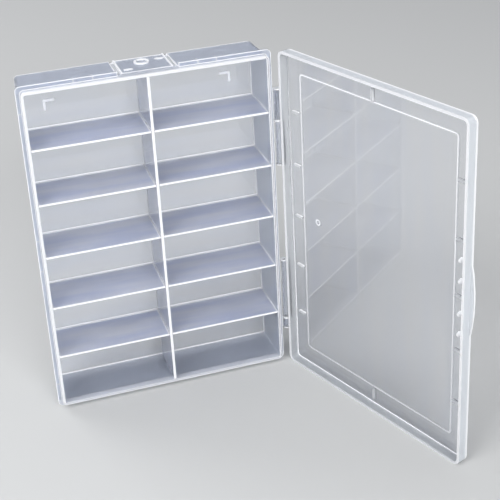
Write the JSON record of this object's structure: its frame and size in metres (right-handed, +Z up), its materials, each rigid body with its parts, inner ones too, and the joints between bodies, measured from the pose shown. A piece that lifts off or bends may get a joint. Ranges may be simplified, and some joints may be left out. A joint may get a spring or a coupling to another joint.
{
  "type": "miniature display case",
  "caption": "Clear hinged case with two columns of shelved cells for miniatures, standing on its edge with the lid swung open.",
  "frame": {"origin": "middle of the tray flange's bottom edge, on the surface that the case stands on", "axes": "+Z up, +Y from the open front to the back panel, +X from the free side to the hinge side"},
  "size_m": [0.2633, 0.2167, 0.2653],
  "materials": {
    "tray_clear": "clear, gloss",
    "divider_clear": "slightly hazy, gloss",
    "shelf_hazy": "hazy, satin",
    "lid_clear": "clear, gloss",
    "pin_clear": "clear, gloss"
  },
  "bodies": {
    "case": {"tray_shell": "tray_clear", "centre_divider": "divider_clear", "shelf_left_1": "shelf_hazy", "shelf_left_2": "shelf_hazy", "shelf_left_3": "shelf_hazy", "shelf_left_4": "shelf_hazy", "shelf_left_5": "shelf_hazy", "shelf_right_1": "shelf_hazy", "shelf_right_2": "shelf_hazy", "shelf_right_3": "shelf_hazy", "shelf_right_4": "shelf_hazy", "shelf_right_5": "shelf_hazy"},
    "lid": {"lid": "lid_clear", "hinge_pin_lower": "pin_clear", "hinge_pin_upper": "pin_clear"}
  },
  "joints": [
    {"name": "lid_hinge", "type": "hinge", "parent": "case", "child": "lid", "pos_m": [0.09627, -0.00216, 0.13265], "axis": [0, 0, 1], "range_deg": [-110.5, 69.5]}
  ]
}
